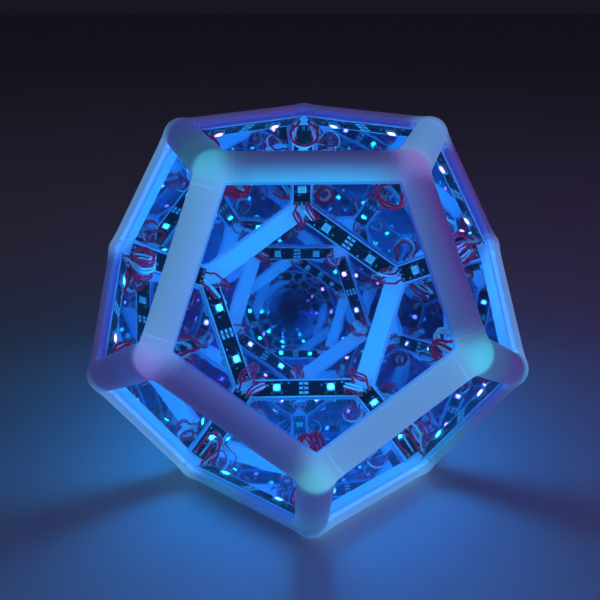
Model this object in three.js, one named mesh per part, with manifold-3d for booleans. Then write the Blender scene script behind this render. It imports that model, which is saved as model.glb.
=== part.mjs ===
// An infinity-mirror lamp in the shape of a regular dodecahedron, standing on one of its faces.
// Round-backed beams and three-way corners, joined by pegs, make the frame. Twelve acrylic panes sit
// in the frame's slots. Short LED strips, wired end to end, lie on the inner side of the beams.
// Millimetres, +Z up. The origin is on the table, under the middle of the lamp. -Y is the front.
import * as THREE from "three";
import { mergeVertices } from "three/addons/utils/BufferGeometryUtils.js";
import Module from "manifold-3d";

// ---- Driving dimensions ----
const EDGE = 76; // edge of the ideal dodecahedron that the beams follow
const BACK_RADIUS = 8.3; // of a beam's round back, to its flats
const BACK_DEPTH = 5.3; // from the ideal edge down to the middle of that round
const GAP = 0.3; // clearance between neighbouring pieces
const PANE_THICKNESS = 2;
const PANE_SHIFT = 0.8; // from an ideal face out to its pane's mid-plane
const SLOT_INSET = 3.2; // from the ideal edge to the bottom of a pane's slot
const LIP_HALF = 6.1; // half width of a beam's inner side
const LIP_DEPTH = 5.3; // from the ideal edge to the tips of the channel's lips
const CHANNEL_HALF = 5.3; // half width of the channel for the LED strip
const CHANNEL_FLOOR = 4.6; // from the ideal edge to the channel's floor
const CORNER_REACH = 9.2; // from a vertex to the seam between corner and beam
const PEG = { width: 3, height: 2.2, length: 6, overlap: 1, centre: 0 };
const STRIP = { width: 10, thickness: 0.5, length: 63.6 };
const LED = { size: 5, height: 1.6, pitch: 100 / 3 };
const WIRES = { radius: 1.1, sides: 5, steps: 7, root: 3, rise: 9, sink: 0.1 };
const INLET = { length: 12, width: 3.8, bottom: -3, top: 3.3, floor: 1, at: 46 };
const MOUTH = { length: 8.5, width: 2.4, tongueLength: 6.6, tongueWidth: 0.7, tongueTop: 2.2 };

// ---- The dodecahedron ----
const PHI = (1 + Math.sqrt(5)) / 2;
const SMALL_RING = EDGE / 2 / Math.sin(Math.PI / 5); // radius of the ring of a face's five vertices
const LARGE_RING = SMALL_RING * PHI;
const FACE_DISTANCE = (EDGE / 2) * Math.sqrt(2.5 + 1.1 * Math.sqrt(5)); // from the centre to a face
const LARGE_RING_HEIGHT = FACE_DISTANCE - Math.sqrt(EDGE ** 2 - (LARGE_RING - SMALL_RING) ** 2);
const PANE_TILT = Math.atan(1 / PHI); // between a beam's outward direction and its panes' normals
const STAND_OFF = BACK_RADIUS - BACK_DEPTH * Math.cos(PANE_TILT); // how far beams stand out of a face

// Four rings of vertices, from the top face (T) by the upper (U) and lower (L) rings to the base (B).
const RINGS = {
  T: { radius: SMALL_RING, height: FACE_DISTANCE, turn: -126 },
  U: { radius: LARGE_RING, height: LARGE_RING_HEIGHT, turn: -126 },
  L: { radius: LARGE_RING, height: -LARGE_RING_HEIGHT, turn: -90 },
  B: { radius: SMALL_RING, height: -FACE_DISTANCE, turn: -90 },
};
const FIVE = [0, 1, 2, 3, 4];
const after = (i) => (i + 1) % 5;
const before = (i) => (i + 4) % 5;

const vertices = new Map();
for (const [ring, { radius, height, turn }] of Object.entries(RINGS))
  for (const i of FIVE) {
    const angle = THREE.MathUtils.degToRad(turn + 72 * i);
    vertices.set(ring + i, new THREE.Vector3(radius * Math.cos(angle), radius * Math.sin(angle), height));
  }

const EDGES = FIVE.flatMap((i) => [
  ["T" + i, "T" + after(i), "beam_top_"],
  ["T" + i, "U" + i, "beam_upper_"],
  ["U" + i, "L" + i, "beam_zigzag_down_"],
  ["L" + i, "U" + after(i), "beam_zigzag_up_"],
  ["L" + i, "B" + i, "beam_lower_"],
  ["B" + i, "B" + after(i), "base_segment_"],
]);
const neighboursOf = (name) =>
  EDGES.filter((edge) => edge.slice(0, 2).includes(name)).map(([a, b]) => (a === name ? b : a));

// The strips follow one continuous trail through the corners, made as two chains.
const CHAINS = {
  led_chain_lower: "B3 L3 U4 L4 U0 L0 B0 B4 B3 B2 B1 L1 U1".split(" "),
  led_chain_upper: "U1 T1 T0 T4 T3 T2 U2 L2 U3 T3".split(" "),
};
const stripsOf = (chain) => chain.slice(1).map((corner, i) => [chain[i], corner]);
const LIT = Object.values(CHAINS).flatMap(stripsOf);
const hasStrip = (a, b) => LIT.some((strip) => strip.includes(a) && strip.includes(b));

// ---- Solids ----
const wasm = await Module();
wasm.setup();

function solidFrom(geometry) {
  const bare = geometry.index ? geometry.toNonIndexed() : geometry.clone();
  for (const attribute of Object.keys(bare.attributes))
    if (attribute !== "position") bare.deleteAttribute(attribute);
  const merged = mergeVertices(bare, 1e-4);
  return new wasm.Manifold(
    new wasm.Mesh({
      numProp: 3,
      vertProperties: new Float32Array(merged.attributes.position.array),
      triVerts: new Uint32Array(merged.index.array),
    }),
  );
}

function geometryFrom(solid) {
  const mesh = solid.getMesh();
  const positions = new Float32Array(mesh.numVert * 3);
  for (let i = 0; i < mesh.numVert; i++)
    positions.set(mesh.vertProperties.subarray(i * mesh.numProp, i * mesh.numProp + 3), i * 3);
  const geometry = new THREE.BufferGeometry();
  geometry.setAttribute("position", new THREE.BufferAttribute(positions, 3));
  geometry.setIndex(new THREE.BufferAttribute(mesh.triVerts, 1));
  geometry.computeVertexNormals();
  return geometry;
}

const joined = (solids) => solids.reduce((all, next) => all.add(next));

// A beam's own frame, from one vertex towards another: x along the beam from the first vertex,
// y sideways and z outwards from the lamp's centre.
function beamFrame(from, to) {
  const start = vertices.get(from);
  const along = vertices.get(to).clone().sub(start).normalize();
  const outward = start.clone().add(vertices.get(to)).normalize();
  return new THREE.Matrix4().makeBasis(along, outward.clone().cross(along), outward).setPosition(start);
}

// A box given by its ranges in a beam's frame.
function blockSolid(frame, [x0, x1], [y0, y1], [z0, z1]) {
  const box = new THREE.BoxGeometry(x1 - x0, y1 - y0, z1 - z0);
  return solidFrom(box.translate((x0 + x1) / 2, (y0 + y1) / 2, (z0 + z1) / 2).applyMatrix4(frame));
}

const around = (middle, size) => [middle - size / 2, middle + size / 2];

// ---- Section of a beam: a round back, a slot for the pane on each side, and an inner side ----
// It is listed from the middle of the inner side, up the +y side, to the middle of the back.
function halfSection(channel) {
  const slotLow = PANE_SHIFT - PANE_THICKNESS / 2 - GAP;
  const slotHigh = PANE_SHIFT + PANE_THICKNESS / 2 + GAP;
  const fromSlot = (depth, offset) => [
    depth * Math.cos(PANE_TILT) + offset * Math.sin(PANE_TILT),
    offset * Math.cos(PANE_TILT) - depth * Math.sin(PANE_TILT),
  ];
  const facet = PANE_TILT / 2; // one facet of the back then lies parallel to each pane
  const backCorner = BACK_RADIUS / Math.cos(facet / 2);
  const onBack = (angle) => [backCorner * Math.sin(angle), backCorner * Math.cos(angle) - BACK_DEPTH];
  const flankDepth = (LIP_HALF - slotLow * Math.sin(PANE_TILT)) / Math.cos(PANE_TILT);
  const rimDepth =
    BACK_DEPTH * Math.sin(PANE_TILT) +
    Math.sqrt(BACK_RADIUS ** 2 - (slotHigh + BACK_DEPTH * Math.cos(PANE_TILT)) ** 2);
  const inner = channel
    ? [[0, -CHANNEL_FLOOR], [CHANNEL_HALF, -CHANNEL_FLOOR], [CHANNEL_HALF, -LIP_DEPTH]]
    : [[0, -LIP_DEPTH]];
  const points = [
    ...inner,
    [LIP_HALF, -LIP_DEPTH],
    fromSlot(flankDepth, slotLow),
    fromSlot(SLOT_INSET, slotLow),
    fromSlot(SLOT_INSET, slotHigh),
    fromSlot(rimDepth, slotHigh),
  ];
  for (let k = 3; k >= 0; k--) points.push(onBack((k + 0.5) * facet));
  points.push([0, BACK_RADIUS - BACK_DEPTH]);
  return points.map(([y, z]) => new THREE.Vector2(y, z));
}

// The whole outline, up the +y side and down the -y side.
function wholeSection(channel) {
  const half = halfSection(channel);
  const mirrored = half.slice(1, -1).reverse().map((p) => new THREE.Vector2(-p.x, p.y));
  return [...half, ...mirrored];
}

// Where a point of an arm's section meets the plane that mitres it with the next arm.
const mitre = ({ x: side, y: out }) => Math.abs(side) / PHI - out / PHI ** 2;

// A closed prism along a beam; startOf and endOf give each section point's two distances.
function prismTriangles(outline, frame, startOf, endOf, ends) {
  const count = outline.length;
  const at = (p, x) => new THREE.Vector3(x, p.x, p.y).applyMatrix4(frame);
  const near = outline.map((p) => at(p, startOf(p)));
  const far = outline.map((p) => at(p, endOf(p)));
  const triangles = [];
  for (let i = 0; i < count; i++) {
    const next = (i + 1) % count;
    triangles.push(near[i], near[next], far[next], near[i], far[next], far[i]);
  }
  for (const [a, b, c] of THREE.ShapeUtils.triangulateShape(outline, [])) {
    triangles.push(far[a], far[b], far[c]);
    if (ends === "both") triangles.push(near[a], near[c], near[b]);
  }
  return triangles;
}

const solidFromTriangles = (points) => solidFrom(new THREE.BufferGeometry().setFromPoints(points));

// A peg on the end of an arm, or grown by the clearance, the socket that takes it.
function pegSolid(from, to, seam, grow) {
  return blockSolid(
    beamFrame(from, to),
    [seam - PEG.overlap, seam + PEG.length + grow],
    around(0, PEG.width + 2 * grow),
    around(PEG.centre, PEG.height + 2 * grow),
  );
}

// A beam on its own, with a socket in each end.
function beamSolid(a, b) {
  const start = CORNER_REACH + GAP / 2;
  const outline = wholeSection(hasStrip(a, b));
  const beam = solidFromTriangles(
    prismTriangles(outline, beamFrame(a, b), () => start, () => EDGE - start, "both"),
  );
  return beam.subtract(pegSolid(a, b, start, GAP)).subtract(pegSolid(b, a, start, GAP));
}

// A three-way corner with a peg on each arm. The arm towards "unbroken" is a whole beam instead,
// and has a socket in its far end.
function cornerSolid(vertex, unbroken) {
  const short = CORNER_REACH - GAP / 2;
  const long = EDGE - CORNER_REACH - GAP / 2;
  const reach = (towards) => (towards === unbroken ? long : short);
  const triangles = neighboursOf(vertex).flatMap((towards) =>
    prismTriangles(wholeSection(true), beamFrame(vertex, towards), mitre, () => reach(towards), "far"),
  );
  let corner = solidFromTriangles(triangles);
  for (const towards of neighboursOf(vertex))
    if (towards !== unbroken) corner = corner.add(pegSolid(vertex, towards, short, 0));
  if (!unbroken) return corner;
  if (!hasStrip(vertex, unbroken))
    corner = corner.add(
      blockSolid(
        beamFrame(vertex, unbroken),
        [CORNER_REACH, long],
        around(0, 2 * CHANNEL_HALF + GAP),
        [-LIP_DEPTH, GAP - CHANNEL_FLOOR],
      ),
    );
  return corner.subtract(pegSolid(unbroken, vertex, EDGE - long, GAP));
}

// ---- Panes ----
function paneGeometry(corners) {
  const middle = corners.reduce((sum, c) => sum.add(vertices.get(c)), new THREE.Vector3()).divideScalar(5);
  const normal = middle.clone().normalize();
  const across = vertices.get(corners[0]).clone().sub(middle).normalize();
  const frame = new THREE.Matrix4()
    .makeBasis(across, normal.clone().cross(across), normal)
    .setPosition(middle);
  const radius = SMALL_RING - (SLOT_INSET + GAP) / Math.cos(Math.PI / 5);
  const outline = FIVE.map((i) => {
    const angle = (i * 2 * Math.PI) / 5;
    return new THREE.Vector2(radius * Math.cos(angle), radius * Math.sin(angle));
  });
  return new THREE.ExtrudeGeometry(new THREE.Shape(outline), { depth: PANE_THICKNESS, bevelEnabled: false })
    .translate(0, 0, PANE_SHIFT - PANE_THICKNESS / 2)
    .applyMatrix4(frame);
}

// ---- LED strips and the wires that link them ----
const STRIP_BACK = -CHANNEL_FLOOR - GAP;
const STRIP_FACE = STRIP_BACK - STRIP.thickness;
const STRIP_END = (EDGE - STRIP.length) / 2;

function stripSolid(a, b) {
  const frame = beamFrame(a, b);
  const board = blockSolid(
    frame,
    around(EDGE / 2, STRIP.length),
    around(0, STRIP.width),
    [STRIP_FACE, STRIP_BACK],
  );
  const leds = [-1, 1].map((side) =>
    blockSolid(
      frame,
      around(EDGE / 2 + (side * LED.pitch) / 2, LED.size),
      around(0, LED.size),
      [STRIP_FACE - LED.height, STRIP_FACE + WIRES.sink],
    ),
  );
  return joined([board, ...leds]);
}

// The bundle of wires that stands in a loop from one strip's end to the next strip's end.
function linkSolid(from, corner, to, landing) {
  const at = (end, x, z) => new THREE.Vector3(x, 0, z).applyMatrix4(beamFrame(corner, end));
  const root = STRIP_END + WIRES.root;
  const half = STRIP_FACE - WIRES.rise / 2;
  const top = STRIP_FACE - WIRES.rise;
  const route = new THREE.CatmullRomCurve3([
    at(from, root, landing),
    at(from, root, half),
    at(from, root, top).lerp(at(to, root, top), 0.5),
    at(to, root, half),
    at(to, root, STRIP_FACE + WIRES.sink),
  ]);
  const section = new THREE.Shape(
    Array.from({ length: WIRES.sides }, (_, i) => {
      const angle = (i * 2 * Math.PI) / WIRES.sides;
      return new THREE.Vector2(WIRES.radius * Math.cos(angle), WIRES.radius * Math.sin(angle));
    }),
  );
  return solidFrom(new THREE.ExtrudeGeometry(section, { steps: WIRES.steps, extrudePath: route }));
}

// A chain of strips. A feeder chain's last corner is where this chain's wires set off from, just
// clear of the feeder's last strip.
function chainSolid(chain, feeder) {
  const parts = stripsOf(chain).map(([a, b]) => stripSolid(a, b));
  for (let i = 1; i < chain.length - 1; i++)
    parts.push(linkSolid(chain[i - 1], chain[i], chain[i + 1], STRIP_FACE + WIRES.sink));
  if (feeder) parts.push(linkSolid(feeder.at(-2), chain[0], chain[1], STRIP_FACE - 2 * GAP));
  return joined(parts);
}

// ---- Power inlet: a slim slot-mouthed socket, seated in the back of a rear beam ----
const INLET_BEAM = ["B3", "L3"];
const INLET_FRAME = beamFrame(...INLET_BEAM);

// The round-ended mouth that a flat plug goes into.
function mouthSolid() {
  const radius = MOUTH.width / 2;
  const straight = MOUTH.length / 2 - radius;
  const shape = new THREE.Shape();
  shape.absarc(straight, 0, radius, -Math.PI / 2, Math.PI / 2, false);
  shape.absarc(-straight, 0, radius, Math.PI / 2, (3 * Math.PI) / 2, false);
  const depth = INLET.top - INLET.bottom;
  const mouth = new THREE.ExtrudeGeometry(shape, { depth, bevelEnabled: false, curveSegments: 4 });
  return solidFrom(mouth.translate(INLET.at, 0, INLET.bottom + INLET.floor).applyMatrix4(INLET_FRAME));
}

function inletSolid() {
  const depths = [INLET.bottom, INLET.top];
  const body = blockSolid(INLET_FRAME, around(INLET.at, INLET.length), around(0, INLET.width), depths);
  const tongue = blockSolid(
    INLET_FRAME,
    around(INLET.at, MOUTH.tongueLength),
    around(0, MOUTH.tongueWidth),
    [INLET.bottom + INLET.floor / 2, MOUTH.tongueTop],
  );
  return body.subtract(mouthSolid()).add(tongue);
}

function inletBeamSolid() {
  const seat = blockSolid(
    INLET_FRAME,
    around(INLET.at, INLET.length + 2 * GAP),
    around(0, INLET.width + 2 * GAP),
    [INLET.bottom - GAP, BACK_RADIUS],
  );
  return beamSolid(...INLET_BEAM).subtract(seat);
}

// ---- Assembly ----
const material = (color, roughness, metalness, more) =>
  new THREE.MeshStandardMaterial({ color, roughness, metalness, ...more });
const FRAME_PLASTIC = () => material(0xdfe6f2, 0.45, 0);
const MIRROR_PANE = () => material(0x5f7fb8, 0.05, 0.6, { transparent: true, opacity: 0.35 });
const STRIP_BLACK = () => material(0x15161a, 0.45, 0);
const INLET_BLACK = () => material(0x1b1c20, 0.5, 0);

const lamp = new THREE.Group();
lamp.position.z = FACE_DISTANCE + STAND_OFF;

function add(name, geometry, finish) {
  const mesh = new THREE.Mesh(geometry, finish);
  mesh.name = name;
  lamp.add(mesh);
}

const CORNER_NAMES = { T: "corner_top_", U: "corner_upper_", L: "corner_lower_" };
for (const [ring, name] of Object.entries(CORNER_NAMES))
  for (const i of FIVE) add(name + i, geometryFrom(cornerSolid(ring + i)), FRAME_PLASTIC());

for (const [a, b, name] of EDGES) {
  // each corner that stands on the table is printed in one piece with the base beam next to it
  if (a[0] === "B") add(name + a[1], geometryFrom(cornerSolid(a, b)), FRAME_PLASTIC());
  else if (INLET_BEAM.includes(a) && INLET_BEAM.includes(b))
    add(name + a[1], geometryFrom(inletBeamSolid()), FRAME_PLASTIC());
  else add(name + a[1], geometryFrom(beamSolid(a, b)), FRAME_PLASTIC());
}

add("pane_top", paneGeometry(FIVE.map((i) => "T" + i)), MIRROR_PANE());
add("pane_base", paneGeometry(FIVE.map((i) => "B" + i)), MIRROR_PANE());
for (const i of FIVE) {
  const [j, k] = [after(i), before(i)];
  add("pane_upper_" + i, paneGeometry(["T" + i, "T" + j, "U" + j, "L" + i, "U" + i]), MIRROR_PANE());
  add("pane_lower_" + i, paneGeometry(["B" + k, "B" + i, "L" + i, "U" + i, "L" + k]), MIRROR_PANE());
}

add("led_chain_lower", geometryFrom(chainSolid(CHAINS.led_chain_lower)), STRIP_BLACK());
add("led_chain_upper", geometryFrom(chainSolid(CHAINS.led_chain_upper, CHAINS.led_chain_lower)), STRIP_BLACK());
add("power_inlet", geometryFrom(inletSolid()), INLET_BLACK());

export default lamp;
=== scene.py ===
"""Looks of an infinity mirror lamp in the shape of a dodecahedron, built round its CAD frame.

Metres, +Z up, -Y to the front. Every piece rides on the lamp's one body.
"""

import logging
import math
import random
from collections.abc import Callable, Iterable, Sequence
from dataclasses import dataclass, field
from enum import Enum

import bmesh
import bpy
from mathutils import Matrix, Vector


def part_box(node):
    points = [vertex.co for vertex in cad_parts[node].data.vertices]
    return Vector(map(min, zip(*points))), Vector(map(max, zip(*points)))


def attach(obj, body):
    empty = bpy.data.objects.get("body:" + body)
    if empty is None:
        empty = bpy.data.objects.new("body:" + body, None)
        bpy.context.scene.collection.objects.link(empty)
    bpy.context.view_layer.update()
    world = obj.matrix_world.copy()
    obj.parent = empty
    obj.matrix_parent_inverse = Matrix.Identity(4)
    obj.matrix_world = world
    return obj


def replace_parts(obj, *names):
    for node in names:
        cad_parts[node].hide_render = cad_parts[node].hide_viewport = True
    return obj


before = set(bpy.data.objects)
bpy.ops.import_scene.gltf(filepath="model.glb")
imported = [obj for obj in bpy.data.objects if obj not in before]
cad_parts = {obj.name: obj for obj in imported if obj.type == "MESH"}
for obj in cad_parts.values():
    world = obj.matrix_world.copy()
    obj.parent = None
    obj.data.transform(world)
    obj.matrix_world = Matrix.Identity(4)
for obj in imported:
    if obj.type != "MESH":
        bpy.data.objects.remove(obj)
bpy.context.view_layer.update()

BODY = "root"
MM = 0.001
PANE_SHIFT = 0.8 * MM  # from an ideal face out to its pane's mid-plane
LENS_STRENGTH = 20.0
GLOW_REACH = 17 * MM  # how far an LED's light spreads in the plastic
GLOW_GAIN = 0.12
GLOW_FALL = 3  # how sharply that light falls off past its reach
GLOW_BASE = (0.018, 0.024, 0.145)
BARE_GLOW = (0.110, 0.370, 0.680)  # extra light through a beam that has no strip to block it
BARE_REACH = 16 * MM
BARE_ENDS = (0.12, 0.88)  # the part of such a beam's length that the light comes from
LIT_BEAM = ("T0", "T1")  # the beam whose front side catches the most light
LIT_SIDE = (0.0, -0.9, -0.44)  # the way that side faces
LIT_GLOW = (0.0, 0.25, 0.40)
LIT_FROM = 0.38  # how far a surface must turn to that side before it catches any
LIT_RISE = 1.8
LIT_FADE = 16 * MM  # the length over which it fades out towards each end of the beam
INNER_SHARE = 0.34  # of the glow, on surfaces that face into the lamp
INNER_TURN = -0.25  # how far inwards a surface must face to count as one of those
SPOT_REACH = 6.5 * MM  # how far the light caught in a corner spreads
SPOT_FALL = 4
OUTER_SHARE = 0.72  # of the glow, on the ridge of a beam's back
FLANK_GAIN = 0.40  # how much a surface that turns aside adds to that
FLANK_MOST = 0.6  # turned further than this, it adds no more
END_SHRINK = 0.996  # the softened ends of frame pieces, against their full section
ARM_ROWS = 9  # lengths that a corner's arm is divided into
SETTLE_STEPS = 5  # moves that bring a point onto a corner's blended surface
SETTLE_REACH = 0.02 * MM  # the distance that the surface's slope is measured over
LEAST_SLOPE = 0.2  # keeps a move short where that slope almost vanishes
MERGE_REACH = 0.005 * MM  # vertices closer than this become one
PHI = (1 + math.sqrt(5)) / 2
LOG = logging.getLogger("lamp")
Loop = list[Vector]
Colour = tuple[float, float, float]


# ---------------------------------------------------------------- named options


class Hue(Enum):
    """The colours that the LEDs show; OFF is an LED that isn't lit."""

    CYAN = (0.02, 0.82, 0.92)
    AQUA = (0.02, 1.0, 0.68)
    BLUE = (0.05, 0.22, 1.0)
    VIOLET = (0.28, 0.10, 1.0)
    PINK = (1.0, 0.12, 0.72)
    OFF = (0.0, 0.0, 0.0)


class Slot(Enum):
    """The record's material slots."""

    FRAME = "frame"
    PANE = "pane"
    STRIP = "strip"
    LED = "led"
    PAD = "pad"
    WIRE_RED = "wire_red"
    WIRE_PALE = "wire_pale"
    INLET = "inlet"


# ---------------------------------------------------------------- the lamp's geometry

RING_TURNS = {"T": -126, "U": -126, "L": -90, "B": -90}
CORNER_NODES = {"T": "corner_top_", "U": "corner_upper_", "L": "corner_lower_"}
LOWER_TRAIL = "B3 L3 U4 L4 U0 L0 B0 B4 B3 B2 B1 L1 U1".split()
UPPER_TRAIL = "U1 T1 T0 T4 T3 T2 U2 L2 U3 T3".split()
TRAIL = LOWER_TRAIL + UPPER_TRAIL[1:]
STRIPS = list(zip(TRAIL, TRAIL[1:]))
INLET_BEAM = ("B3", "L3")

# The colours of each strip's two LEDs, in the order of the trail.
STRIP_HUES = {
    ("B3", "L3"): (Hue.AQUA, Hue.CYAN),
    ("L3", "U4"): (Hue.CYAN, Hue.VIOLET),
    ("U4", "L4"): (Hue.BLUE, Hue.PINK),
    ("L4", "U0"): (Hue.VIOLET, Hue.BLUE),
    ("U0", "L0"): (Hue.VIOLET, Hue.BLUE),
    ("L0", "B0"): (Hue.VIOLET, Hue.CYAN),
    ("B0", "B4"): (Hue.BLUE, Hue.CYAN),
    ("B4", "B3"): (Hue.CYAN, Hue.OFF),
    ("B3", "B2"): (Hue.CYAN, Hue.CYAN),
    ("B2", "B1"): (Hue.CYAN, Hue.AQUA),
    ("B1", "L1"): (Hue.AQUA, Hue.VIOLET),
    ("L1", "U1"): (Hue.PINK, Hue.CYAN),
    ("U1", "T1"): (Hue.VIOLET, Hue.PINK),
    ("T1", "T0"): (Hue.OFF, Hue.OFF),
    ("T0", "T4"): (Hue.CYAN, Hue.BLUE),
    ("T4", "T3"): (Hue.PINK, Hue.PINK),
    ("T3", "T2"): (Hue.VIOLET, Hue.PINK),
    ("T2", "U2"): (Hue.PINK, Hue.VIOLET),
    ("U2", "L2"): (Hue.OFF, Hue.OFF),
    ("L2", "U3"): (Hue.OFF, Hue.OFF),
    ("U3", "T3"): (Hue.OFF, Hue.OFF),
}


# Light caught in the corners: its colour in each corner that shows it.
CORNER_SPOTS = {
    "T0": (0.00, 0.30, 0.32),
    "T1": (0.20, 0.06, 0.24),
    "U0": (0.16, 0.08, 0.40),
    "U1": (0.00, 0.50, 0.50),
    "L0": (0.05, 0.42, 0.40),
    "L1": (0.00, 0.25, 0.30),
}

# The share of an LED's colour that shows in the plastic near it.
GLOW_SHARES = {Hue.PINK: 0.2, Hue.VIOLET: 0.4}


def unit_vertices() -> dict[str, Vector]:
    """The twenty vertices of a dodecahedron of edge 1 about its centre, by ring and number."""
    small = 0.5 / math.sin(math.pi / 5)
    face = 0.5 * math.sqrt(2.5 + 1.1 * math.sqrt(5))
    large = small * PHI
    inner = face - math.sqrt(1 - (large - small) ** 2)
    places = {"T": (small, face), "U": (large, inner), "L": (large, -inner), "B": (small, -face)}
    found = {}
    for ring, (radius, height) in places.items():
        for i in range(5):
            angle = math.radians(RING_TURNS[ring] + 72 * i)
            found[f"{ring}{i}"] = Vector((radius * math.cos(angle), radius * math.sin(angle), height))
    return found


def edge_list() -> list[tuple[str, str, str]]:
    """Each edge's two vertices and the name of the CAD node on it."""
    edges = []
    for i in range(5):
        nxt = (i + 1) % 5
        edges += [
            (f"T{i}", f"T{nxt}", f"beam_top_{i}"),
            (f"T{i}", f"U{i}", f"beam_upper_{i}"),
            (f"U{i}", f"L{i}", f"beam_zigzag_down_{i}"),
            (f"L{i}", f"U{nxt}", f"beam_zigzag_up_{i}"),
            (f"L{i}", f"B{i}", f"beam_lower_{i}"),
            (f"B{i}", f"B{nxt}", f"base_segment_{i}"),
        ]
    return edges


EDGES = edge_list()


@dataclass
class Solid:
    """The ideal dodecahedron that the lamp is laid out on, as found in the CAD frame."""

    edge: float
    centre: Vector
    vertices: dict[str, Vector] = field(default_factory=dict)

    @classmethod
    def from_frame(cls) -> "Solid":
        """Works out edge and centre from the top and base panes, each PANE_SHIFT outside its face."""
        (_, _, low), (_, _, high) = (
            (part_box(node)[0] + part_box(node)[1]) / 2 for node in ("pane_base", "pane_top")
        )
        unit = unit_vertices()
        edge = (high - low - 2 * PANE_SHIFT) / (unit["T0"].z - unit["B0"].z)
        centre = Vector((0, 0, (low + high) / 2))
        return cls(edge, centre, {name: centre + edge * v for name, v in unit.items()})

    def neighbours(self, name: str) -> list[str]:
        """The three vertices joined to a vertex by an edge."""
        return [b if a == name else a for a, b, _ in EDGES if name in (a, b)]

    def outward(self, name: str) -> Vector:
        """The unit direction from the centre to a vertex."""
        return (self.vertices[name] - self.centre).normalized()

    def beam(self, start: str, end: str) -> Matrix:
        """A beam's own frame: x along it from its start, y sideways, z away from the centre."""
        origin = self.vertices[start]
        x = (self.vertices[end] - origin).normalized()
        z = ((origin + self.vertices[end]) / 2 - self.centre).normalized()
        return Matrix.Translation(origin) @ Matrix((x, z.cross(x), z)).transposed().to_4x4()


def has_strip(a: str, b: str) -> bool:
    """Whether the beam between two vertices carries an LED strip."""
    return (a, b) in STRIPS or (b, a) in STRIPS


# ---------------------------------------------------------------- mesh helpers


def make_object(name: str, mesh: bpy.types.Mesh) -> bpy.types.Object:
    """Puts a mesh in the scene as an object at the origin."""
    piece = bpy.data.objects.new(name, mesh)
    bpy.context.scene.collection.objects.link(piece)
    return piece


def add_loops(bm: bmesh.types.BMesh, loops: Sequence[Loop], near: bool = True, far: bool = True) -> None:
    """Skins a row of closed loops with quads.

    Args:
        bm: The mesh to add to.
        loops: Loops of the same number of points, anticlockwise seen from the last one.
        near: Whether the first loop is closed by a cap.
        far: Whether the last loop is closed by a cap.
    """
    rings = [[bm.verts.new(p) for p in loop] for loop in loops]
    count = len(rings[0])
    for low, high in zip(rings, rings[1:]):
        for i in range(count):
            j = (i + 1) % count
            bm.faces.new((low[i], low[j], high[j], high[i]))
    caps = [bm.faces.new(list(reversed(rings[0])))] if near else []
    if far:
        caps.append(bm.faces.new(rings[-1]))
    if caps:
        bmesh.ops.triangulate(bm, faces=caps, ngon_method="EAR_CLIP")


def mesh_from(name: str, bm: bmesh.types.BMesh, sharp: float = 35) -> bpy.types.Mesh:
    """Turns a bmesh into a mesh, smooth apart from edges sharper than an angle.

    Args:
        name: The mesh's name.
        bm: The bmesh, which is freed.
        sharp: Edges that turn by more than this many degrees stay sharp.

    Returns:
        The mesh.
    """
    bmesh.ops.remove_doubles(bm, verts=bm.verts, dist=MERGE_REACH)
    for face in bm.faces:
        face.smooth = True
    for edge in bm.edges:
        edge.smooth = len(edge.link_faces) == 2 and edge.calc_face_angle(0) < math.radians(sharp)
    mesh = bpy.data.meshes.new(name)
    bm.to_mesh(mesh)
    bm.free()
    return mesh


def circle(radius: float, height: float, count: int) -> Loop:
    """A round loop about Z."""
    turns = (2 * math.pi * i / count for i in range(count))
    return [Vector((radius * math.cos(t), radius * math.sin(t), height)) for t in turns]


def round_box(x: float, y: float, corner: float, height: float, count: int = 32) -> Loop:
    """A loop round a rectangle of half sizes x and y with rounded corners."""
    loop = []
    for i in range(count):
        quarter, step = divmod(i, count // 4)
        turn = math.pi / 2 * (quarter + step / (count // 4 - 1))
        sx, sy = ((1, 1), (-1, 1), (-1, -1), (1, -1))[quarter]
        px = sx * (x - corner) + corner * math.cos(turn)
        py = sy * (y - corner) + corner * math.sin(turn)
        loop.append(Vector((px, py, height)))
    return loop


def block(bm: bmesh.types.BMesh, size: Vector, centre: Vector, soft: float) -> None:
    """Adds a small upright block with rounded corners and a chamfered top."""
    x, y, z = size / 2
    heights = ((x, y, -z), (x, y, z - soft), (x - soft / 2, y - soft / 2, z))
    loops = [round_box(a, b, soft, h, 16) for a, b, h in heights]
    add_loops(bm, [[p + centre for p in loop] for loop in loops])


# ---------------------------------------------------------------- node helpers


def link(tree: bpy.types.NodeTree, source: bpy.types.NodeSocket, target: bpy.types.NodeSocket) -> None:
    """Joins two sockets."""
    tree.links.new(source, target)


def math_node(
    tree: bpy.types.NodeTree, operation: str, a: object, b: object = 0.0, clamp: bool = False
) -> bpy.types.NodeSocket:
    """A Math node whose two inputs are sockets or numbers; returns its output."""
    node = tree.nodes.new("ShaderNodeMath")
    node.operation, node.use_clamp = operation, clamp
    for socket, value in zip(node.inputs, (a, b)):
        if isinstance(value, bpy.types.NodeSocket):
            link(tree, value, socket)
        else:
            socket.default_value = value
    return node.outputs[0]


def new_group(name: str, inputs: dict[str, float], outputs: dict[str, str]) -> bpy.types.NodeTree:
    """A shader node group with float inputs and outputs of the given socket types."""
    tree = bpy.data.node_groups.new(name, "ShaderNodeTree")
    for label, value in inputs.items():
        tree.interface.new_socket(
            label, in_out="INPUT", socket_type="NodeSocketFloat"
        ).default_value = value
    for label, kind in outputs.items():
        tree.interface.new_socket(label, in_out="OUTPUT", socket_type=kind)
    tree.nodes.new("NodeGroupInput")
    tree.nodes.new("NodeGroupOutput")
    return tree


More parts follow.
